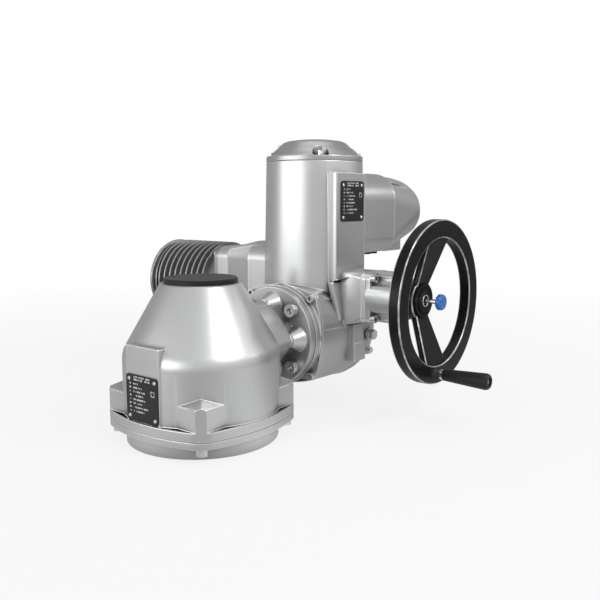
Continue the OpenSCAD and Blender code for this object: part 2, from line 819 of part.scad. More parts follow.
module hollow_shaft_bearings() color(steel) {
    for (y = [front_bearing_y, rear_bearing_y])
        along_y(y) bearing_ring(shaft_seat_r, drive_bearing_r, drive_bearing_t);
}

module rear_plug() color(matt_black) {
    along_y(drum_back_y) cylinder(r = 34, h = 4);
    along_y(drum_back_y - 12) tube(25.9, 20, 12 + eps);
}

// One start of the worm in a cross section, as points between two roots.
function thread_start(angle) = let (root = worm_r - 1.25 * axial_module, tip = worm_r + axial_module)
    [for (p = [[root, -62], [worm_r - 0.5, -38], [tip, -16], [tip + 0.05, 0], [tip, 16],
               [worm_r - 0.5, 38], [root, 62], [root, 90]])
        p[0] * [cos(angle + p[1]), sin(angle + p[1])]];

module worm_shaft() color(steel) {
    turns = worm_length / lead;
    along_x(0) difference() {
        union() {
            translate([0, 0, -worm_length / 2]) rotate(-180 * turns)
                linear_extrude(worm_length, twist = -360 * turns, slices = ceil(14 * turns), $fn = 0)
                    polygon([for (k = [0 : worm_starts - 1])
                        for (p = thread_start(k * 360 / worm_starts)) p]);
            translate([0, 0, motor_coupling_x]) cylinder(r = worm_seat_r, h = 70 - motor_coupling_x);
        }
        translate([0, 0, 62]) cylinder(r = 4, h = 20);
    }
}

module worm_bearings() color(steel) {
    for (x = [worm_bearing_x, -worm_bearing_x - worm_bearing_t])
        along_x(x) bearing_ring(worm_seat_r + run_gap, worm_bearing_r, worm_bearing_t);
}

module coupling_sleeve() color(steel) difference() {
    along_x(motor_coupling_x - 14) cylinder(r = 15, h = 28);
    along_x(motor_coupling_x) cylinder(r = worm_seat_r, h = 20);
    along_x(motor_coupling_x - 20) cylinder(r = rotor_shaft_r, h = 21);
}

module clutch_sleeve() color(steel) along_x(58) difference() {
    tube(16, worm_seat_r, 26);
    translate([0, 0, 12]) cylinder(r = 12, h = 20);
    for (a = [0 : 60 : 300]) rotate(a) translate([13.5, 0, 24]) cube([8, 5, 8], center = true);
}

module worm_cover() color(cast_grey) difference() {
    union() {
        along_x(neck_x) linear_extrude(worm_cover_t) rounded_square(neck_half, 8);
        along_x(neck_x) cylinder(r = worm_cover_r, h = cover_end_x - neck_x - 6);
        along_x(cover_end_x - 6) cylinder(r1 = worm_cover_r, r2 = worm_cover_r - 6, h = 6);
        along_x(neck_x - 4) cylinder(r = worm_bearing_r - 0.05, h = 5);
    }
    along_x(neck_x - 5) cylinder(r = bush_r, h = 60);
    along_x(neck_x - 5) cylinder(r = 17.5, h = 13);
    along_x(neck_x - 1) at_corners(cover_screw_offset) cylinder(r = 3, h = 20);
    along_x(cover_joint_x) at_corners(cover_screw_offset) cylinder(r = 9, h = 60);
}

module worm_cover_screws() color(bright_steel) {
    along_x(cover_joint_x) at_corners(cover_screw_offset) socket_screw(3, 18, 5, 6);
}

module handwheel_shaft() color(steel) difference() {
    union() {
        along_x(90) cylinder(r = handwheel_shaft_r, h = hub_x - 90);
        along_x(88) cylinder(r = 16, h = 8);
    }
    along_x(80) cylinder(r = rod_r + run_gap, h = 100);
}

module handwheel_bush() color(bronze)
    along_x(neck_x + 8) tube(bush_r, handwheel_shaft_r + run_gap, cover_end_x - neck_x - 8);

module spoke(side) {
    inner_z = side * 15;
    outer_z = side * (rim_in + 2);
    hull() {
        translate([hub_x - 13, column_y - spoke_hub_half, worm_z + inner_z - 1])
            cube([9, 2 * spoke_hub_half, 2]);
        translate([rim_x - rim_t + 2, column_y - spoke_rim_half, worm_z + outer_z - 1])
            cube([9, 2 * spoke_rim_half, 2]);
    }
}

module handwheel() color(matt_black) difference() {
    union() {
        along_x(rim_x - rim_t) rotate_extrude($fn = 128)
            polygon([[rim_in + 1.5, 0], [rim_in, 2], [rim_in, rim_t - 2], [rim_in + 1.5, rim_t],
                     [handwheel_d / 2 - 4, rim_t], [handwheel_d / 2 - 1.2, rim_t - 1.2],
                     [handwheel_d / 2, rim_t - 4], [handwheel_d / 2, 4],
                     [handwheel_d / 2 - 1.2, 1.2], [handwheel_d / 2 - 4, 0]]);
        along_x(hub_back_x) cylinder(r = hub_r, h = hub_x - 3 - hub_back_x);
        spoke(1);
        spoke(-1);
    }
    along_x(hub_back_x - 1) cylinder(r = handwheel_shaft_r, h = 60);
    along_x(hub_x - 3) cylinder(r = hub_r - 3.5, h = 60);
    along_x(rim_x - rim_t - 1, column_y, worm_z - rim_mid) cylinder(r = spindle_r, h = 30);
}

module hub_disc() color(matt_black)
    along_x(hub_x - 3) tube(hub_r - 4, handwheel_shaft_r, 3);

module retaining_ring() color(bright_steel)
    along_x(hub_x) tube(handwheel_shaft_r - 1, rod_r + 2.5, 1.2);

module push_rod() color(bright_steel)
    along_x(rod_end_x) cylinder(r = rod_r, h = button_x - rod_end_x);

module push_button() color("#2f6fc4")
    along_x(button_x)
        rotate_extrude() polygon([[0, 0], [button_r - 1.5, 0], [button_r, 1.5], [button_r, 5.5],
                                  [button_r - 1.2, 7.2], [button_r * 0.55, 8], [0, 8.2]]);

module on_grip(x) {
    along_x(x, column_y, worm_z - rim_mid) children();
}

module grip_spindle() color(bright_steel) {
    on_grip(rim_x - rim_t + 1) cylinder(r = spindle_r, h = rim_t + collar_l + grip_l - 6);
    on_grip(rim_x) cylinder(r = collar_r, h = collar_l);
    on_grip(grip_x + grip_l - 7.5) cylinder(r = 5, h = 5.5);
}

module crank_grip() color(matt_black) on_grip(grip_x) difference() {
    rotate_extrude() polygon([[0, 0], [grip_start_r - 0.8, 0], [grip_start_r, 0.8],
        [grip_start_r + 0.9, grip_l * 0.3], [grip_r - 0.5, grip_l * 0.75], [grip_r, grip_l - 5],
        [grip_r - 0.8, grip_l - 1.6], [grip_r - 2.6, grip_l], [0, grip_l]]);
    translate([0, 0, -1]) cylinder(r = spindle_r + run_gap, h = grip_l + 2);
    translate([0, 0, grip_l - 7.8]) cylinder(r = 5.3, h = 10);
}

module oil_plug() color(bright_steel) along_x(76, oil_plug_y, oil_plug_z) {
    cylinder(r = 8, h = 1.4);
    translate([0, 0, 1.4 - eps]) cylinder(r = 6.9, h = 5.6, $fn = 6);
    translate([0, 0, -12]) cylinder(r = 5, h = 12 + eps);
}

module earth_terminal() color(bright_steel) along_x(69, earth_y, earth_z) {
    cylinder(r = 5.5, h = 1.2);
    translate([0, 0, 1.2 - eps]) cylinder(r = 4.2, h = 3.4);
    translate([0, 0, -8]) cylinder(r = 2.5, h = 8 + eps);
}

function dome_profile(r, h, base) =
    [for (step = dome_steps) [r * step[0], base + (h - base) * step[1]]];

module column_cover() color(cast_grey) on_column(column_top_z) difference() {
    union() {
        rotate_extrude($fn = 128)
            polygon(concat([[0, 0], [column_top_r, 0], [column_top_r, dome_rim_h - 1],
                            [column_top_r - 1, dome_rim_h]],
                           dome_profile(60, dome_h, dome_rim_h)));
        rotate(190) translate([44, -4, dome_rim_h]) cube([11, 8, dome_h - dome_rim_h - 5]);
    }
    translate([0, 0, -1]) rotate_extrude()
        polygon(concat([[0, 0], [dome_bore_r, 0]], dome_profile(dome_bore_r, dome_h - 4, 4)));
    for (a = [45 : 90 : 315]) rotate(a) {
        translate([dome_screw_r, 0, dome_seat_h]) cylinder(r = 10.5, h = 40);
        translate([dome_screw_r, 0, -1]) cylinder(r = 2.5, h = dome_rim_h + 2);
    }
    rotate(95) translate([46, 0, dome_h - 9]) cylinder(r = 4, h = 20);
}

module column_cover_screws() color(bright_steel) {
    on_column(column_top_z + dome_seat_h) for (a = [45 : 90 : 315]) rotate(a)
        translate([dome_screw_r, 0, 0]) socket_screw(2.5, 16, 4.2, 5.5);
}

module column_cover_seal() color(matt_black)
    on_column(column_top_z - 3) tube(column_mouth_r, column_mouth_r - 2.5, 3);

module drive_nameplate() color(matt_black) on_column_pad() difference() {
    nameplate();
    rivet_holes();
}

module drive_rivets() color(bright_steel) on_column_pad() plate_rivets();

module switch_frame() color(steel) {
    on_column(column_floor_z) cylinder(r = 46, h = 5);
    on_column(column_floor_z + 5 - eps) for (a = [60 : 120 : 300]) rotate(a)
        translate([38, 0, 0]) cylinder(r = 3, h = 66);
    on_column(column_floor_z + 70) cylinder(r = 44, h = 4);
}

module limit_switches() color("#3a3f46") on_column(column_floor_z + 74)
    for (sx = [-1, 1], sy = [0, 1]) translate([sx * 20 - 7, sy * 17 - 4, 0]) cube([14, 12, 24]);

module torque_switches() color("#7a2f2a") on_column(column_floor_z + 74)
    for (sx = [-1, 1]) translate([sx * 12 - 6, -26, 0]) cube([12, 16, 20]);

module counter_gears() color("#e4e2d8") on_column(column_floor_z + 5) {
    for (k = [0 : 4]) rotate(k * 72 + 20) translate([20, 0, 0]) {
        cylinder(r = 2, h = 65);
        translate([0, 0, 18 + 3 * k]) cylinder(r = 9, h = 6);
        translate([0, 0, 42 - 3 * k]) cylinder(r = 8, h = 6);
    }
}

module plug_cover_shape() {
    linear_extrude(plug_rim_t) connector_section(connector_half - 0.3);
    hull() {
        linear_extrude(plug_rim_t + 1) connector_section(connector_half - 2.2, $fn = 48);
        for (p = plug_rings)
            translate([0, -p[2], plug_cover_l * p[0] - 1])
                cylinder(r = (connector_half - 3) * p[1], h = 1, $fn = 40);
    }
}

module plug_cover() color(cast_grey) along_y(connector_joint_y, 0, connector_z) difference() {
    union() {
        plug_cover_shape();
        translate([-34, connector_half - 30, 9]) cube([68, 31, 46]);
    }
    translate([0, 0, -1]) cylinder(r = connector_bore_r, h = plug_cover_l * 0.5);
    at_corners(plug_screw_offset) {
        translate([0, 0, -1]) cylinder(r = plug_screw_r, h = 20);
        translate([0, 0, 8]) cylinder(r = plug_screw_head_r + 0.6, h = 60);
    }
}

module plug_insert() color("#20232a") {
    along_y(connector_joint_y - 24, 0, connector_z) difference() {
        cylinder(r = connector_bore_r, h = 34);
        for (r = [14, 26], a = [0 : 30 : 330]) rotate(a + r)
            translate([r, 0, 26]) cylinder(r = 2, h = 12, $fn = coarse);
    }
}

module plug_cover_screws() color(bright_steel) {
    along_y(connector_joint_y + 8, 0, connector_z) at_corners(plug_screw_offset)
        socket_screw(plug_screw_r, 18, plug_screw_head_r, 4);
}

module blanking_plugs() color(matt_black) {
    for (y = entry_ys) translate([26, y, entry_bottom_z - 3]) cylinder(r = 8, h = 3, $fn = 6);
}

module vent_plug() color(bright_steel)
    translate([0, 308, entry_bottom_z - 3]) cylinder(r = 7, h = 3);

module motor_housing() color(cast_grey) along_x(-motor_end_x) difference() {
    union() {
        rotate_extrude($fn = 96) polygon(concat(
            [[0, end_cover_t]],
            [[barrel_r, end_cover_t]],
            [for (k = [0 : fin_count - 1]) let (z = end_cover_t + 7 + k * fin_pitch)
                for (p = [[barrel_r, z - fin_tip / 2 - 1.5], [fin_r, z - fin_tip / 2],
                          [fin_r, z + fin_tip / 2], [barrel_r, z + fin_tip / 2 + 1.5]]) p],
            [[barrel_r + 3, motor_end_x - motor_joint_x],
             [0, motor_end_x - motor_joint_x]]));
        translate([0, 0, motor_end_x - motor_joint_x - motor_flange_t])
            linear_extrude(motor_flange_t) rounded_square(motor_flange_half, 15);
    }
    cylinder(r = stator_r, h = motor_end_x - motor_joint_x - 14);
    cylinder(r = 20, h = motor_end_x);
    translate([0, 0, motor_end_x - motor_joint_x - motor_flange_t - 20])
        at_corners(motor_screw_offset) cylinder(r = 3, h = 60);
    translate([0, 0, motor_end_x - motor_joint_x - motor_flange_t - 30])
        at_corners(motor_screw_offset) cylinder(r = 6, h = 30);
}

module motor_end_cover() color(cast_grey) along_x(-motor_end_x) difference() {
    rotate_extrude($fn = 96) polygon([[0, -8], [34, -7], [48, -4], [fin_r - 4, 0],
        [fin_r, 3], [fin_r, 6], [fin_r - 1.5, 7], [fin_r - 7, 8], [fin_r - 7, 12],
        [fin_r - 1.5, 13], [fin_r - 1.5, end_cover_t], [0, end_cover_t]]);
    translate([0, 0, 2]) cylinder(r = 20, h = end_cover_t);
}

module motor_screws() color(bright_steel) {
    along_x(-motor_joint_x - motor_flange_t) at_corners(motor_screw_offset)
        rotate([180, 0, 0]) socket_screw(3, 18, 5, 6);
}

module stator() color(copper) along_x(-motor_end_x + end_cover_t + 12)
    tube(stator_r, rotor_r + stator_gap, 84);

module rotor() color(steel) {
    along_x(-motor_end_x + end_cover_t + 14) cylinder(r = rotor_r, h = 80);
    along_x(-motor_end_x + 4) cylinder(r = rotor_shaft_r, h = motor_end_x + motor_coupling_x - 4);
}

module motor_bearings() color(steel) {
    along_x(-motor_end_x + 3) bearing_ring(rotor_shaft_r + run_gap, 20, 12);
    along_x(-motor_joint_x - 13) bearing_ring(rotor_shaft_r + run_gap, 20, 12);
}

gearbox_housing();
base_cover();
base_cover_screws();
drive_sleeve();
crown_wheel();
bevel_pinion();
pinion_bearings();
sleeve_bearings();
sleeve_seal();
stem_cap();
gearbox_nameplate();
gearbox_rivets();
joint_screws();
output_flange();
output_flange_screws();
drive_housing();
hollow_shaft();
shaft_key();
worm_wheel();
hollow_shaft_bearings();
rear_plug();
worm_shaft();
worm_bearings();
coupling_sleeve();
clutch_sleeve();
worm_cover();
worm_cover_screws();
handwheel_shaft();
handwheel_bush();
handwheel();
hub_disc();
retaining_ring();
push_rod();
push_button();
grip_spindle();
crank_grip();
oil_plug();
earth_terminal();
column_cover();
column_cover_screws();
column_cover_seal();
drive_nameplate();
drive_rivets();
switch_frame();
limit_switches();
torque_switches();
counter_gears();
plug_cover();
plug_insert();
plug_cover_screws();
blanking_plugs();
vent_plug();
motor_housing();
motor_end_cover();
motor_screws();
stator();
rotor();
motor_bearings();
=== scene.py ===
"""Looks of the electric valve actuator: cast housings, black handwheel, screws, plates and stage."""

import json
import math

import bpy
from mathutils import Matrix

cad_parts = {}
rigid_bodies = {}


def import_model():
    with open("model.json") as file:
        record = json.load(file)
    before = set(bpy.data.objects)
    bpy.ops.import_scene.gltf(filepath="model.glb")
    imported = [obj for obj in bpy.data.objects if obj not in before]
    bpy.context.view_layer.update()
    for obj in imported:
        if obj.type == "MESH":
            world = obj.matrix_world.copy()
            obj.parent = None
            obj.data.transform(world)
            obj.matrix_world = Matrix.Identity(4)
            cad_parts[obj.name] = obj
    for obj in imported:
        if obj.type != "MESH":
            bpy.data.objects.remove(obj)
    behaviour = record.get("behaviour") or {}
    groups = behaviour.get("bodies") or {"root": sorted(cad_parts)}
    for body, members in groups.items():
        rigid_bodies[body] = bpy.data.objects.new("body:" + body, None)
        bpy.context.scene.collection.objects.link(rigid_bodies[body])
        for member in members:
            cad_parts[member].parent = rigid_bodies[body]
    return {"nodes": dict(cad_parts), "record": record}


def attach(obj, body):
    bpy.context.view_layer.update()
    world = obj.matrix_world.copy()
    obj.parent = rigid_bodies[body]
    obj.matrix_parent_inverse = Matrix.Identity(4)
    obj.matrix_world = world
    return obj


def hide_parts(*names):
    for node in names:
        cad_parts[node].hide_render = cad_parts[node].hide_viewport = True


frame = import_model()

bl_info = {
    "name": "Electric valve actuator",
    "version": (1, 0, 0),
    "blender": (4, 5, 0),
    "location": "View3D > Sidebar > Actuator",
    "description": "Models and finishes the pieces of an electric valve actuator",
    "category": "Object",
}

NODES = frame["nodes"]
BODY_OF = {node: body for body, nodes in frame["record"]["behaviour"]["bodies"].items()
           for node in nodes}
SLOT_OF = {row["node"]: row["material_slot"] for row in frame["record"]["subparts"]}
MM = 0.001
# Middles of the two plates in millimetres, across and up.
GEARBOX_PLATE = (0.0, 60.7)
DRIVE_PLATE = (206.0, 269.0)
# The object's middle, in metres.
MIDDLE = (0.02, 0.13, 0.16)
# The y and z of the handwheel's axis, which runs along X. The sizes from here on are in millimetres.
WHEEL_AXIS = (215.0, 148.0)
RIM_BACK, RIM_FRONT = 177.3, 191.8
RIM_INNER_R, RIM_OUTER_R = 77.8, 100.0
HUB_BACK, HUB_FRONT = 147.0, 165.9
HUB_BORE_R, HUB_OUTER_R = 10.1, 25.0
# A spoke runs from inside the hub to inside the rim and widens on its way; its rim end is dished.
SPOKE_INNER_R, SPOKE_OUTER_R = 14.0, 79.5
SPOKE_X, SPOKE_DISH = 160.4, 23.4
SPOKE_THICKNESS, SPOKE_FOOT, SPOKE_HEAD = 9.0, 26.0, 48.0
# The channel in each side of a spoke: the border it keeps, its slope and its depth.
CHANNEL_BORDER, CHANNEL_SLOPE, CHANNEL_DEPTH = 0.7, 0.5, 1.5
# Rounds on the rim, the hub and a spoke, and the round on the edges of the motor's fins.
RIM_ROUND, HUB_ROUND, SPOKE_ROUND = 1.5, 1.3, 1.1
FIN_EDGE = 0.8
# The cast web in the corner beside the worm's neck: a block whose underside is shifted.
WEB_SIZE = (10.0, 42.0, 52.0)
WEB_MIDDLE = (58.6, 188.5, 142.0)
WEB_SHIFT = (6.5, 9.0, 0.0)
WEB_ROUND = 3.5
# The flare of the worm's neck is drawn back: boxes that hold its points, and the steps they take.
NECK_MOVES = (((63.9, 155.5, 165.9), (64.1, 156.5, 166.1), (1.0, 27.6, 12.6)),
              ((57.9, 155.5, 165.9), (58.1, 156.5, 166.1), (0.0, 44.0, 6.0)),
              ((57.9, 156.5, 140.0), (61.5, 162.5, 150.0), (-1.5, 25.0, 0.0)),
              ((57.9, 156.5, 131.0), (61.5, 162.5, 140.0), (1.3, 24.5, 0.0)),
              ((61.5, 158.5, 122.0), (65.5, 162.5, 131.0), (3.6, 23.5, 0.0)),
              ((61.5, 158.5, 112.0), (65.5, 162.5, 122.0), (5.0, 23.0, 0.0)),
              ((61.5, 158.5, 109.0), (65.5, 162.5, 112.0), (5.8, 22.0, 0.0)))
# How bright the studio shows in the metal, by bearing from the front towards the handwheel.
ROOM_GREYS = ((-180, 0.42), (-106, 0.42), (-76, 0.45), (-44, 0.65), (0, 0.85), (45, 0.95),
              (75, 0.95), (105, 0.9), (129, 0.75), (150, 0.5), (180, 0.42))
FLOOR_GREYS = ((-180, 0.45), (-100, 0.45), (-60, 0.55), (-12, 0.78), (32, 0.48), (58, 0.6),
               (98, 1.0), (112, 0.98), (130, 0.75), (158, 0.48), (180, 0.45))


# Settings

class CastingSettings(bpy.types.PropertyGroup):
    """Sizes and colours of the painted castings."""
    paint: bpy.props.FloatVectorProperty(
        name="Paint", description="Silver-grey paint of the castings", subtype="COLOR", size=3,
        default=(0.54, 0.544, 0.548), min=0.0, max=1.0)
    metallic: bpy.props.FloatProperty(
        name="Metallic", description="Share of metal flake in the paint", default=0.85,
        min=0.0, max=1.0, subtype="FACTOR")
    roughness: bpy.props.FloatProperty(
        name="Roughness", description="Roughness of the paint", default=0.36,
        min=0.0, max=1.0, subtype="FACTOR")
    edge: bpy.props.FloatProperty(
        name="Edge", description="Round that breaks the castings' edges",
        default=1.0 * MM, min=0.2 * MM, max=2 * MM, precision=4, unit="LENGTH")


class BlackSettings(bpy.types.PropertyGroup):
    """Colours of the black pieces and the button."""
    lacquer: bpy.props.FloatVectorProperty(
        name="Lacquer", description="Black of the handwheel", subtype="COLOR", size=3,
        default=(0.006, 0.006, 0.0065), min=0.0, max=1.0)
    plastic: bpy.props.FloatVectorProperty(
        name="Plastic", description="Black of caps, grips and plugs", subtype="COLOR", size=3,
        default=(0.016, 0.016, 0.017), min=0.0, max=1.0)
    button: bpy.props.FloatVectorProperty(
        name="Button", description="Blue of the push button", subtype="COLOR", size=3,
        default=(0.03, 0.16, 0.52), min=0.0, max=1.0)
    ink: bpy.props.FloatVectorProperty(
        name="Ink", description="Pale print on the nameplates", subtype="COLOR", size=3,
        default=(0.55, 0.56, 0.57), min=0.0, max=1.0)


class StageSettings(bpy.types.PropertyGroup):
    """Where the camera stands and its lens."""
    azimuth: bpy.props.FloatProperty(
        name="Azimuth", description="Camera's bearing from the front, towards the handwheel",
        default=math.radians(38.48), subtype="ANGLE", unit="ROTATION")
    elevation: bpy.props.FloatProperty(
        name="Elevation", description="Camera's height above the horizon",
        default=math.radians(7.99), subtype="ANGLE", unit="ROTATION")
    eye: bpy.props.FloatVectorProperty(
        name="Eye", description="Where the camera stands", size=3,
        default=(0.5922, -0.5638, 0.2714), subtype="TRANSLATION", unit="LENGTH")
    lens: bpy.props.FloatProperty(
        name="Lens", description="Focal length on a 36 mm sensor", default=43.0,
        min=10.0, max=200.0, unit="CAMERA")


def casting():
    return bpy.context.scene.actuator_casting


def black():
    return bpy.context.scene.actuator_black


def stage():
    return bpy.context.scene.actuator_stage


# Shader maths

class Value:
    """One output of a material's node; arithmetic on it adds Math nodes."""

    def __init__(self, graph, socket):
        self.graph = graph
        self.socket = socket

    def maths(self, operation, *rest):
        return self.graph.add("Math", {"operation": operation},
                              **{str(i): v for i, v in enumerate((self, *rest))})

    def __add__(self, other):
        return self.maths("ADD", other)

    def __sub__(self, other):
        return self.maths("SUBTRACT", other)

    def __rsub__(self, other):
        return self.graph.add("Math", {"operation": "SUBTRACT"}, **{"0": other, "1": self})

    def __mul__(self, other):
        return self.maths("MULTIPLY", other)

    def __gt__(self, other):
        return self.maths("GREATER_THAN", other)

    def __lt__(self, other):
        return self.maths("LESS_THAN", other)

    __radd__ = __add__

    def clamp(self, low, high):
        """The value moved from low..high to 0..1 and held there."""
        return self.graph.add("MapRange", {"clamp": True},
                              **{"Value": self, "From Min": low, "From Max": high})

    def within(self, low, high):
        """1 where the value lies between the two, else 0."""
        return (self > low) * (self < high)

    def absolute(self):
        return self.maths("ABSOLUTE")


class Graph:
    """The nodes of a material or of the world."""

    def __init__(self, owner):
        owner.use_nodes = True
        self.nodes = owner.node_tree.nodes
        self.links = owner.node_tree.links

    def add(self, kind, settings=None, out=0, **inputs):
        """Adds a node, makes its settings, fills its sockets and returns one output."""
        node = self.nodes.new("ShaderNode" + kind)
        for key, value in (settings or {}).items():
            if key == "stops":
                while len(node.color_ramp.elements) < len(value):
                    node.color_ramp.elements.new(0.5)
                for stop, (position, colour) in zip(node.color_ramp.elements, value):
                    stop.position = position
                    stop.color = colour
            else:
                setattr(node, key, value)
        for key, value in inputs.items():
            self.fill(node.inputs[int(key) if key.isdigit() else key], value)
        return Value(self, node.outputs[out])

    def fill(self, socket, value):
        if isinstance(value, Value):
            self.links.new(value.socket, socket)
        elif isinstance(value, tuple) and len(socket.default_value) == 4 and len(value) == 3:
            socket.default_value = (*value, 1.0)
        else:
            socket.default_value = value

    def rays(self):
        """Three values: 1 on rays from the camera, from a mirror and through something clear."""
        return (self.add("LightPath", None, name) for name in
                ("Is Camera Ray", "Is Glossy Ray", "Is Transmission Ray"))

    def choose(self, factor, first, second):
        """The first shader where the factor is 0, the second where it is 1."""
        return self.add("MixShader", None, 0, **{"0": factor, "1": first, "2": second})

    def bearing(self, place, stops):
        """A grey ramp around the object: stops are pairs of bearing and brightness."""
        x = self.add("SeparateXYZ", None, "X", Vector=place)
        y = self.add("SeparateXYZ", None, "Y", Vector=place)
        turn = x.maths("ARCTAN2", y * -1.0) * (0.5 / math.pi) + 0.5
        ramp = [(azimuth / 360.0 + 0.5, (grey, grey, grey, 1.0)) for azimuth, grey in stops]
        return self.add("ValToRGB", {"stops": ramp}, 0, Fac=turn)


class Finish(Graph):
    """One procedural material, built around a Principled shader."""

    def __init__(self, name):
        self.material = bpy.data.materials.new(name)
        super().__init__(self.material)
        self.shader = self.nodes["Principled BSDF"]
        self.place = self.add("TexCoord", out="Object")

    def noise(self, scale, detail):
        return self.add("TexNoise", None, "Fac", Vector=self.place, Scale=scale, Detail=detail,
                        Roughness=0.5)

    def mix(self, factor, first, second):
        return self.add("Mix", {"data_type": "RGBA"}, 2, **{"0": factor, "6": first, "7": second})

    def axis(self, letter):
        return self.add("SeparateXYZ", None, letter, Vector=self.place)

    def crevice(self, reach):
        """1 on open faces, falling towards 0 in corners and recesses within the reach."""
        return self.add("AmbientOcclusion", {"samples": 8}, "AO", Distance=reach)

    def edge(self, reach):
        """1 on outer edges, falling to 0 within the reach; 0 on flats and in corners."""
        solid = self.add("AmbientOcclusion", {"samples": 8, "inside": True, "only_local": True},
                         "AO", Distance=reach)
        return (1.0 - solid).clamp(0.14, 0.4)

    def bump(self, height, strength, distance):
        """Raises the surface by the height, which the normal shows."""
        self.fill(self.shader.inputs["Normal"],
                  self.add("Bump", None, "Normal", Height=height, Strength=strength,
                           Distance=distance))

    def set(self, **inputs):
        """Fills the shader's sockets, with _ for the spaces in their names."""
        for key, value in inputs.items():
            self.fill(self.shader.inputs[key.replace("_", " ")], value)


def shade(colour, factor):
    return tuple(min(1.0, part * factor) for part in colour)


def cast_paint(name="cast paint", depth=0.36, rub=0.75, level=1.0, reach=14.0):
    """Satin metallic paint over a fine sand-cast skin, with painted shade in recesses and a painted
    highlight along edges.

    depth is the share of the tone left in recesses under the painted shade, the next argument the
    brightness of the painted highlight on edges, level that of the whole, and reach how many
    millimetres the painted shade in recesses spreads.
    """
    edge_reach = 2.2 * MM
    # Near white of the painted highlight along outer edges.
    highlight_white = (0.97, 0.97, 0.97)
    finish = Finish(name)
    tone = shade(casting().paint, level)
    cloud = finish.noise(9.0, 4.0)
    flake = finish.noise(1400.0, 2.0)
    skin = finish.noise(420.0, 3.0)
    waves = finish.noise(45.0, 2.0)
    colour = finish.mix(cloud.clamp(0.3, 0.7), shade(tone, 0.95), shade(tone, 1.04))
    colour = finish.mix(flake.clamp(0.52, 0.75) * 0.35, colour, shade(tone, 1.3))
    # Painted shade: corners and recesses within the reach darken towards depth times the tone.
    open_face = finish.crevice(reach * MM).clamp(0.15, 0.9)
    colour = finish.mix(open_face, shade(tone, depth), colour)
    # Painted highlight: outer edges turn near white and lose some metal, so they stay bright under
    # any light.
    edge = finish.edge(edge_reach) * open_face * rub
    colour = finish.mix(edge, colour, highlight_white)
    rough = casting().roughness + (skin - 0.5) * 0.08 + (cloud - 0.5) * 0.06
    finish.set(Base_Color=colour, Metallic=casting().metallic - edge * 0.35, Roughness=rough)
    finish.bump(skin * 0.6 + waves * 1.4 + flake * 0.2, 0.12, 0.4 * MM)
    return finish.material


def plain_metal(name, tone, roughness):
    """Machined or plated metal with faint tool marks and painted shade in its crevices."""
    finish = Finish(name)
    marks = finish.noise(300.0, 2.0)
    smear = finish.noise(40.0, 3.0)
    # Painted shade: crevices within 3 mm darken to a tenth of the tone.
    open_face = finish.crevice(3 * MM).clamp(0.3, 0.85)
    colour = finish.mix(smear.clamp(0.3, 0.7), shade(tone, 0.93), tone)
    finish.set(Base_Color=finish.mix(open_face, shade(tone, 0.1), colour), Metallic=1.0,
               Roughness=roughness + (marks - 0.5) * 0.12)
    finish.bump(marks, 0.06, 0.2 * MM)
    return finish.material


def plain_plastic(name, tone, roughness, pebble=0.0, coat=0.0, sheen=0.3):
    """Moulded plastic, rubber or lacquer, smooth or pebbled."""
    finish = Finish(name)
    finish.set(Specular_IOR_Level=sheen)
    dust = finish.noise(60.0, 4.0)
    peel = finish.noise(700.0, 2.0)
    finish.set(Base_Color=finish.mix(dust.clamp(0.35, 0.75), tone, shade(tone, 1.25)),
               Roughness=roughness + (dust - 0.5) * 0.08, Coat_Weight=coat, Coat_Roughness=0.08)
    finish.bump(peel, 0.08 + pebble, 0.3 * MM)
    return finish.material


def printed_plate(name, across, up, middle):
    """A black plate with a blank form: two heading rows, rows of short dashes and an empty box."""
    rows_end, pitch = 17.0, 4.3
    box_middle, box_outer, box_inner = (17.5, 8.0), 3.0, 2.0
    finish = Finish(name)
    u = finish.axis(across) * 1000.0 - middle[0]
    v = finish.axis(up) * 1000.0 - middle[1]
    rows = (v + rows_end) * (1 / pitch)
    row = rows.maths("FLOOR")
    in_row = rows.maths("FRACT")
    line = in_row.within(0.3, 0.72) * v.within(-rows_end, rows_end)
    cell = finish.add("CombineXYZ", None, 0, X=(u * 0.8).maths("FLOOR"), Y=row, Z=3.0)
    dash = finish.add("TexWhiteNoise", {"noise_dimensions": "3D"}, "Value", Vector=cell) > 0.3
    end = finish.add("TexWhiteNoise", {"noise_dimensions": "1D"}, "Value", W=row + 5.0)
    body = u.within(-14.0, end * 17.0 - 6.0)
    column = u.within(-20.5, -17.5)
    box_u = (u - box_middle[0]).absolute()
    box_v = (v - box_middle[1]).absolute()
    hollow = (box_u < box_inner) * (box_v < box_inner)
    box = (box_u < box_outer) * (box_v < box_outer) * (1 - hollow)
    title = (v.within(19.0, 20.8) + v.within(22.0, 23.8)) * u.within(-13.0, 13.0)
    ink = (line * dash * (body + column) + box + title * dash).clamp(0.0, 1.0)
    worn = finish.noise(220.0, 2.0).clamp(0.2, 0.5)
    tone = tuple(black().plastic)
    finish.set(Base_Color=finish.mix(ink * worn, tone, tuple(black().ink)),
               Roughness=0.36 + ink * 0.1, Specular_IOR_Level=0.3)
    return finish.material


def lacquer():
    """Glossy black lacquer of the handwheel."""
    finish = Finish("black lacquer")
    tone = tuple(black().lacquer)
    peel = finish.noise(160.0, 2.0)
    finish.set(Base_Color=finish.mix(peel.clamp(0.4, 0.7), tone, shade(tone, 1.6)),
               Roughness=0.3 + (peel - 0.5) * 0.06, Specular_IOR_Level=0.16)
    return finish.material


def rubbed_edge():
    """The handwheel's edges: lacquer rubbed thin by hands, with a painted highlight that keeps them
    bright.
    """
    finish = Finish("worn edge with painted highlight")
    wear = finish.noise(70.0, 3.0).clamp(0.3, 0.65)
    # Painted highlight: a pale, part-metal colour on the rounds that shows bright under any light.
    finish.set(Base_Color=finish.mix(wear, (0.16, 0.16, 0.17), (0.62, 0.62, 0.64)),
               Metallic=0.4 + wear * 0.5, Roughness=0.28)
    return finish.material


FINISHES = {}


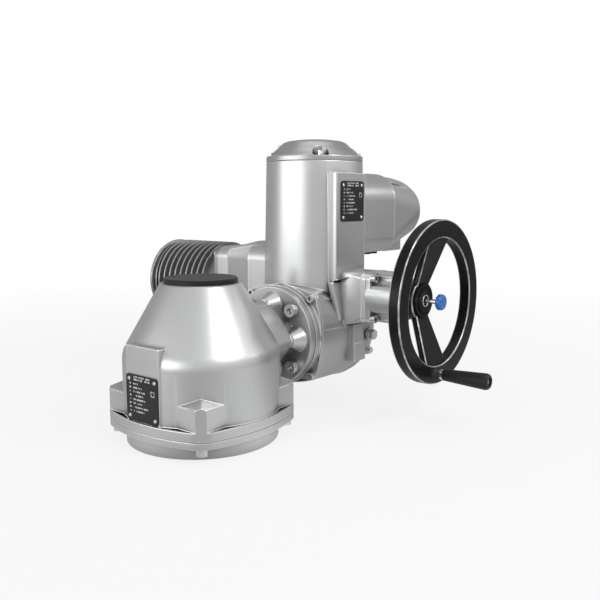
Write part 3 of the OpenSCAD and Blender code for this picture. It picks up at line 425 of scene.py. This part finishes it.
def finishes():
    """All materials, made once: one for each slot, and those that castings and wheel ask for."""
    if not FINISHES:
        FINISHES.update({
            "cast_paint": cast_paint(),
            "steel": plain_metal("machined steel", (0.50, 0.50, 0.51), 0.34),
            "bright_steel": plain_metal("plated steel", (0.78, 0.78, 0.79), 0.24),
            "bronze": plain_metal("bronze", (0.55, 0.36, 0.14), 0.3),
            "copper": plain_metal("copper winding", (0.55, 0.22, 0.09), 0.35),
            "black_plastic": plain_plastic("black plastic", tuple(black().plastic), 0.4,
                                           pebble=0.1, sheen=0.22),
            "handwheel_black": lacquer(),
            "rubbed_edge": rubbed_edge(),
            # The fins' paint: the cast paint at 0.62 of its brightness, with lighter painted shade
            # in recesses and no painted highlight on edges.
            "fin_paint": cast_paint("fin paint", depth=0.75, rub=0.0, level=0.62),
            # The dome's paint: the cast paint darkened to 0.8 as painted shade that holds down its
            # lamp highlight, with deeper painted shade in its recesses.
            "shaded_dome_paint": cast_paint("shaded dome paint", depth=0.12, rub=0.6, level=0.8, reach=22.0),
            # Cast paint with a darker and wider painted shade, for the recesses of the gearbox's
            # lugs.
            "paint_with_deep_painted_shade": cast_paint("paint with deep painted shade", depth=0.3, rub=0.85, reach=26.0),
            "button_blue": plain_plastic("blue plastic", tuple(black().button), 0.28, coat=0.3),
            "plate_black": plain_plastic("black plate", tuple(black().plastic), 0.34),
            "seal_rubber": plain_plastic("seal rubber", (0.02, 0.02, 0.02), 0.6, pebble=0.1),
            "switch_plastic": plain_plastic("switch plastic", (0.05, 0.06, 0.08), 0.4),
            "gear_plastic": plain_plastic("gear plastic", (0.7, 0.68, 0.62), 0.4),
        })
    return FINISHES


# Modelling helpers

def in_metres(sizes):
    return tuple(size * MM for size in sizes)


def only(piece):
    """Makes piece the one selected and active object."""
    bpy.ops.object.select_all(action="DESELECT")
    piece.select_set(True)
    bpy.context.view_layer.objects.active = piece
    return piece


def modify(piece, kind, **settings):
    """Adds a modifier, sets it and applies it."""
    only(piece)
    modifier = piece.modifiers.new(kind.lower(), kind)
    for key, value in settings.items():
        setattr(modifier, key, value)
    bpy.ops.object.modifier_apply(modifier=modifier.name)


def copy_of(node, name):
    """A free copy of a CAD node's mesh, merged into closed shells."""
    only(NODES[node])
    bpy.ops.object.duplicate()
    piece = bpy.context.active_object
    bpy.ops.object.parent_clear(type="CLEAR_KEEP_TRANSFORM")
    piece.name = name
    bpy.ops.object.mode_set(mode="EDIT")
    bpy.ops.mesh.select_all(action="SELECT")
    bpy.ops.mesh.remove_doubles(threshold=0.004 * MM)
    bpy.ops.object.mode_set(mode="OBJECT")
    return piece


def paint(piece, *names):
    """Puts finishes on a piece, one for each of its material slots."""
    piece.data.materials.clear()
    for name in names:
        piece.data.materials.append(finishes()[name])


def dress(piece, node, *names):
    """Puts a piece in a CAD node's place, in its finish or in others, on the body that it rides."""
    if names or not piece.data.materials:
        paint(piece, *(names or (SLOT_OF[node],)))
    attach(piece, BODY_OF[node])
    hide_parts(node)


def block(name, size, middle):
    """A box of a size around its middle, both in millimetres."""
    bpy.ops.object.select_all(action="DESELECT")
    bpy.ops.mesh.primitive_cube_add(size=1.0)
    piece = bpy.context.active_object
    piece.name = name
    piece.scale = in_metres(size)
    piece.location = in_metres(middle)
    bpy.ops.object.transform_apply(location=True, rotation=True, scale=True)
    return piece


def ring(back, front, inner, outer):
    """The profile of a plain ring between two places on the axis and two radii."""
    return [(back, inner), (back, outer), (front, outer), (front, inner)]


def turned(name, profile):
    """A piece turned around the handwheel's axis from a closed row of (x, radius) in millimetres."""
    y, z = in_metres(WHEEL_AXIS)
    x, radius = profile[0]
    bpy.ops.object.select_all(action="DESELECT")
    bpy.ops.mesh.primitive_circle_add(vertices=128, radius=radius * MM, location=(x * MM, y, z),
                                      rotation=(0.0, math.pi / 2, 0.0))
    piece = bpy.context.active_object
    piece.name = name
    bpy.ops.object.transform_apply(location=True, rotation=True, scale=True)
    bpy.ops.object.mode_set(mode="EDIT")
    bpy.ops.mesh.select_mode(type="VERT")
    bpy.ops.mesh.select_all(action="SELECT")
    for next_x, next_radius in profile[1:] + profile[:1]:
        bpy.ops.mesh.extrude_region_move(
            TRANSFORM_OT_translate={"value": ((next_x - x) * MM, 0.0, 0.0)})
        ratio = next_radius / radius
        bpy.ops.transform.resize(value=(1.0, ratio, ratio), center_override=(next_x * MM, y, z))
        x, radius = next_x, next_radius
    bpy.ops.mesh.select_all(action="SELECT")
    bpy.ops.mesh.remove_doubles(threshold=0.01 * MM)
    bpy.ops.mesh.normals_make_consistent(inside=False)
    bpy.ops.object.mode_set(mode="OBJECT")
    return piece


def smoothed(piece, angle):
    """Shades a piece smooth up to an angle, with the flat faces kept flat."""
    only(piece)
    bpy.ops.object.shade_smooth_by_angle(angle=angle)
    modify(piece, "WEIGHTED_NORMAL", keep_sharp=True, weight=60)


def softened(piece, width, material=-1, segments=3):
    """Rounds a piece's sharp edges; the rounds may take another of its finishes."""
    angle = math.radians(30.0)
    modify(piece, "BEVEL", width=width * MM, segments=segments, limit_method="ANGLE",
           angle_limit=angle, material=material)
    smoothed(piece, angle)


def choose(piece, kind, test):
    """Selects the faces (FACE) or points (VERT) that pass the test, and leaves edit mode off."""
    bpy.ops.object.mode_set(mode="EDIT")
    bpy.ops.mesh.select_mode(type=kind)
    bpy.ops.mesh.select_all(action="DESELECT")
    bpy.ops.object.mode_set(mode="OBJECT")
    for part in piece.data.polygons if kind == "FACE" else piece.data.vertices:
        part.select = test(part)


def shift_chosen(step):
    """Moves what is selected on the active piece by a step in millimetres."""
    bpy.ops.object.mode_set(mode="EDIT")
    bpy.ops.transform.translate(value=in_metres(step))
    bpy.ops.object.mode_set(mode="OBJECT")


def pull_back(piece, shape, limit):
    """Draws the points that a bevel threw further than the limit off the shape back onto it."""
    strays = [point.index for point in piece.data.vertices
              if (shape.closest_point_on_mesh(point.co)[1] - point.co).length > limit]
    if strays:
        group = piece.vertex_groups.new(name="strays")
        group.add(strays, 1.0, "REPLACE")
        modify(piece, "SHRINKWRAP", target=shape, vertex_group="strays",
               wrap_method="NEAREST_SURFACEPOINT")


def in_box(low, high):
    """A test for the points inside a box, whose corners are given in millimetres."""
    return lambda point: all(a <= c / MM <= b for a, c, b in zip(low, point.co, high))


def eased(node, width, finish_name=None, moves=()):
    """A copy of a node with its sharp edges rounded; moves shift the points in boxes first."""
    angle = math.radians(32.0)
    piece = copy_of(node, "eased_" + node)
    for low, high, step in moves:
        choose(piece, "VERT", in_box(low, high))
        shift_chosen(step)
    bpy.ops.object.mode_set(mode="EDIT")
    bpy.ops.mesh.select_all(action="SELECT")
    bpy.ops.mesh.dissolve_limited(angle_limit=math.radians(0.05))
    bpy.ops.object.mode_set(mode="OBJECT")
    only(piece)
    bpy.ops.object.duplicate()
    shape = bpy.context.active_object
    modify(piece, "BEVEL", width=width, segments=2, limit_method="ANGLE", angle_limit=angle,
           use_clamp_overlap=False, miter_outer="MITER_ARC")
    pull_back(piece, shape, width * 0.6)
    bpy.data.objects.remove(shape)
    smoothed(piece, angle)
    dress(piece, node, finish_name or SLOT_OF[node])


# Operators

class ACTUATOR_OT_finish_nodes(bpy.types.Operator):
    """Give every CAD node the finish of its material slot"""
    bl_idname = "actuator.finish_nodes"
    bl_label = "Finish the nodes"

    def execute(self, context):
        plates = {"gearbox_nameplate": printed_plate("gearbox plate", "X", "Z", GEARBOX_PLATE),
                  "drive_nameplate": printed_plate("drive plate", "Y", "Z", DRIVE_PLATE)}
        for node, thing in NODES.items():
            for slot in thing.material_slots:
                slot.material = plates.get(node) or finishes()[SLOT_OF[node]]
        return {"FINISHED"}


class ACTUATOR_OT_castings(bpy.types.Operator):
    """Round the painted castings as a sand mould does"""
    bl_idname = "actuator.castings"
    bl_label = "Castings"

    def execute(self, context):
        for node in ("base_cover", "output_flange", "worm_cover", "plug_cover"):
            eased(node, casting().edge)
        eased("drive_housing", casting().edge, moves=NECK_MOVES)
        # The gearbox housing takes the cast paint with deeper painted shade in its lug recesses.
        eased("gearbox_housing", casting().edge, "paint_with_deep_painted_shade")
        # The column's dome takes the cast paint darkened as painted shade.
        eased("column_cover", casting().edge, "shaded_dome_paint")
        for node in ("motor_housing", "motor_end_cover"):
            eased(node, FIN_EDGE * MM, "fin_paint")
        return {"FINISHED"}


class ACTUATOR_OT_neck_web(bpy.types.Operator):
    """Fill the corner between the column, its pad and the worm's neck with a cast web"""
    bl_idname = "actuator.neck_web"
    bl_label = "Neck web"

    def execute(self, context):
        web = block("neck_web", WEB_SIZE, WEB_MIDDLE)
        choose(web, "FACE", lambda face: face.normal.z < -0.9)
        shift_chosen(WEB_SHIFT)
        softened(web, WEB_ROUND)
        paint(web, "cast_paint")
        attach(web, BODY_OF["drive_housing"])
        return {"FINISHED"}


class ACTUATOR_OT_handwheel(bpy.types.Operator):
    """Model the handwheel: rim, hub and two dished spokes with channelled sides"""
    bl_idname = "actuator.handwheel"
    bl_label = "Handwheel"

    def spoke(self, side):
        """A tapered bar from the hub to the rim, above the axis (1) or below it (-1)."""
        y, z = WHEEL_AXIS
        height = z + side * (SPOKE_INNER_R + SPOKE_OUTER_R) / 2
        tip = z + side * SPOKE_OUTER_R
        spoke = block("spoke", (SPOKE_THICKNESS, SPOKE_FOOT, SPOKE_OUTER_R - SPOKE_INNER_R),
                      (SPOKE_X, y, height))
        choose(spoke, "FACE", lambda face: face.normal.z * side > 0.9)
        bpy.ops.object.mode_set(mode="EDIT")
        bpy.ops.transform.resize(value=(1.0, SPOKE_HEAD / SPOKE_FOOT, 1.0),
                                 center_override=in_metres((0.0, y, tip)))
        bpy.ops.object.mode_set(mode="OBJECT")
        shift_chosen((SPOKE_DISH, 0.0, 0.0))
        self.rub(spoke, SPOKE_ROUND)
        broad = 200.0 * MM * MM
        choose(spoke, "FACE", lambda face: abs(face.normal.y) > 0.9 and face.area > broad)
        bpy.ops.object.mode_set(mode="EDIT")
        bpy.ops.mesh.inset(thickness=CHANNEL_BORDER * MM, depth=0.0, use_individual=False)
        bpy.ops.mesh.inset(thickness=CHANNEL_SLOPE * MM, depth=-CHANNEL_DEPTH * MM,
                           use_individual=False)
        bpy.ops.object.mode_set(mode="OBJECT")
        return spoke

    def rub(self, piece, width):
        """Lacquers a part of the wheel and rounds its edges, whose finish is worn lacquer with a
        painted highlight.
        """
        paint(piece, "handwheel_black", "rubbed_edge")
        softened(piece, width, material=1)

    def execute(self, context):
        rim = turned("handwheel_cast", ring(RIM_BACK, RIM_FRONT, RIM_INNER_R, RIM_OUTER_R))
        hub = turned("hub", ring(HUB_BACK, HUB_FRONT, HUB_BORE_R, HUB_OUTER_R))
        self.rub(rim, RIM_ROUND)
        self.rub(hub, HUB_ROUND)
        parts = [hub, self.spoke(1), self.spoke(-1)]
        only(rim)
        for part in parts:
            part.select_set(True)
        bpy.ops.object.join()
        dress(rim, "handwheel")
        return {"FINISHED"}


class ACTUATOR_OT_hub_cap(bpy.types.Operator):
    """Model the stepped black disc and the bright ring around the push rod"""
    bl_idname = "actuator.hub_cap"
    bl_label = "Hub cap"

    def execute(self, context):
        groove = [(168.9, 17.4), (167.7, 16.6), (167.7, 15.0), (169.6, 14.4)]
        collar = [(169.6, 11.4), (170.1, 10.9), (170.1, 7.7), (169.1, 7.7)]
        bore = [(169.1, 3.3), (168.92, 3.3), (168.92, HUB_BORE_R)]
        cap = turned("hub_cap", [(HUB_FRONT, HUB_BORE_R), (HUB_FRONT, 21.0), (168.9, 21.0),
                                 *groove, *collar, *bore])
        softened(cap, 0.35, segments=2)
        dress(cap, "hub_disc")
        clip = turned("retaining_clip", ring(169.1, 171.0, 6.0, 7.6))
        softened(clip, 0.4)
        dress(clip, "retaining_ring")
        return {"FINISHED"}


class ACTUATOR_OT_stage(bpy.types.Operator):
    """Set the floor, the lamps and the camera"""
    bl_idname = "actuator.stage"
    bl_label = "Stage"

    def lamp(self, name, place, target, size, power):
        """A soft box that faces its target."""
        bpy.ops.object.light_add(type="AREA", location=place)
        lamp = bpy.context.active_object
        lamp.name = name
        lamp.data.shape = "RECTANGLE"
        lamp.data.size, lamp.data.size_y = size
        lamp.data.energy = power
        way = [t - p for p, t in zip(place, target)]
        flat = math.hypot(way[0], way[1])
        turn = math.atan2(way[1], way[0]) - math.pi / 2
        lamp.rotation_euler = (math.atan2(flat, -way[2]), 0.0, turn)

    def around(self, azimuth, reach, height):
        """A place at a bearing from the object's middle, 0 at the front and 90 at the handwheel."""
        turn = math.radians(azimuth)
        return (math.sin(turn) * reach, MIDDLE[1] - math.cos(turn) * reach, height)

    def floor(self):
        """A pale paper floor that fades to white and keeps the object's shadow."""
        bpy.ops.object.select_all(action="DESELECT")
        bpy.ops.mesh.primitive_plane_add(size=40.0, location=(0.0, 0.0, -0.5 * MM))
        floor = bpy.context.active_object
        floor.name = "floor"
        paper = Finish("pale paper")
        paper.set(Base_Color=(0.8, 0.8, 0.8), Roughness=0.9)
        camera, glossy, through = paper.rays()
        reach = paper.add("VectorMath", {"operation": "LENGTH"}, "Value", **{"0": paper.place})
        far = reach.clamp(0.45, 1.6)
        near_white = 0.82
        share = (camera + through) * (near_white + far * (1.0 - near_white)) + glossy
        backwards = (0.82, 0.57, 0.0)
        behind = paper.add("VectorMath", {"operation": "DOT_PRODUCT"}, "Value",
                           **{"0": paper.place, "1": backwards}).clamp(0.45, 1.3)
        grey = paper.bearing(paper.place, FLOOR_GREYS) * (1.0 - behind * 0.6)
        shown = 1.0 - glossy * (1.0 - grey)
        white = paper.add("Emission", None, 0, Color=(1.0, 1.0, 1.0), Strength=shown)
        both = paper.choose(share, Value(paper, paper.shader.outputs[0]), white)
        paper.links.new(both.socket, paper.nodes["Material Output"].inputs["Surface"])
        floor.data.materials.append(paper.material)

    def world(self):
        """A white backdrop, and a softly shaded room in the metal."""
        world = bpy.data.worlds.new("studio")
        bpy.context.scene.world = world
        room = Graph(world)
        camera, glossy, through = room.rays()
        way = room.add("TexCoord", out="Generated")
        white = (1.0, 1.0, 1.0)
        plain = room.add("Background", None, 0, Color=white, Strength=0.4)
        greys = room.bearing(way, ROOM_GREYS)
        mirrored = room.add("Background", None, 0, Color=white, Strength=greys)
        backdrop = room.add("Background", None, 0, Color=white, Strength=1.0)
        sky = room.choose(glossy, plain, mirrored)
        sky = room.choose(through, sky, backdrop)
        sky = room.choose(camera, sky, backdrop)
        room.links.new(sky.socket, room.nodes["World Output"].inputs["Surface"])

    def execute(self, context):
        self.floor()
        self.world()
        column = (0.0, 0.15, 0.35)
        self.lamp("tall box", self.around(-17.0, 1.35, 0.42), column, size=(1.6, 0.52), power=7.6)
        self.lamp("high box", self.around(86.0, 1.15, 1.1), MIDDLE, size=(0.9, 0.5), power=7.5)
        self.lamp("back strip", self.around(134.0, 1.4, 0.8), MIDDLE, size=(0.9, 0.22), power=2.0)
        self.lamp("top box", (-0.1, 0.35, 1.7), MIDDLE, size=(1.0, 1.0), power=3.0)

        settings = stage()
        bpy.ops.object.camera_add(
            location=tuple(settings.eye),
            rotation=(math.pi / 2 - settings.elevation, 0.0, settings.azimuth))
        camera = bpy.context.active_object
        camera.name = "camera"
        camera.data.sensor_width = 36.0
        camera.data.lens = settings.lens
        bpy.context.scene.camera = camera
        bpy.context.scene.view_settings.view_transform = "Standard"
        return {"FINISHED"}


class ACTUATOR_PT_panel(bpy.types.Panel):
    """Shows the settings and a button for each operator of the actuator"""
    bl_idname = "ACTUATOR_PT_panel"
    bl_label = "Valve actuator"
    bl_space_type = "VIEW_3D"
    bl_region_type = "UI"
    bl_category = "Actuator"

    def draw(self, context):
        for group in (casting(), black(), stage()):
            box = self.layout.box()
            for name in group.__annotations__:
                box.prop(group, name)
        for operator in OPERATORS:
            self.layout.operator(operator.bl_idname)


GROUPS = (("actuator_casting", CastingSettings), ("actuator_black", BlackSettings),
          ("actuator_stage", StageSettings))
OPERATORS = (ACTUATOR_OT_finish_nodes, ACTUATOR_OT_castings, ACTUATOR_OT_neck_web,
             ACTUATOR_OT_handwheel, ACTUATOR_OT_hub_cap, ACTUATOR_OT_stage)


def register():
    for name, group in GROUPS:
        bpy.utils.register_class(group)
        setattr(bpy.types.Scene, name, bpy.props.PointerProperty(type=group))
    for operator in OPERATORS:
        bpy.utils.register_class(operator)
    bpy.utils.register_class(ACTUATOR_PT_panel)


def unregister():
    bpy.utils.unregister_class(ACTUATOR_PT_panel)
    for operator in reversed(OPERATORS):
        bpy.utils.unregister_class(operator)
    for name, group in reversed(GROUPS):
        delattr(bpy.types.Scene, name)
        bpy.utils.unregister_class(group)


def plain(box):
    """A box's two corners as plain lists."""
    return [list(map(float, corner)) for corner in box]


def main():
    register()
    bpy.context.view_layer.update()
    bpy.ops.actuator.finish_nodes()
    bpy.ops.actuator.castings()
    bpy.ops.actuator.neck_web()
    bpy.ops.actuator.handwheel()
    bpy.ops.actuator.hub_cap()
    bpy.ops.actuator.stage()


if __name__ == "__main__":
    main()
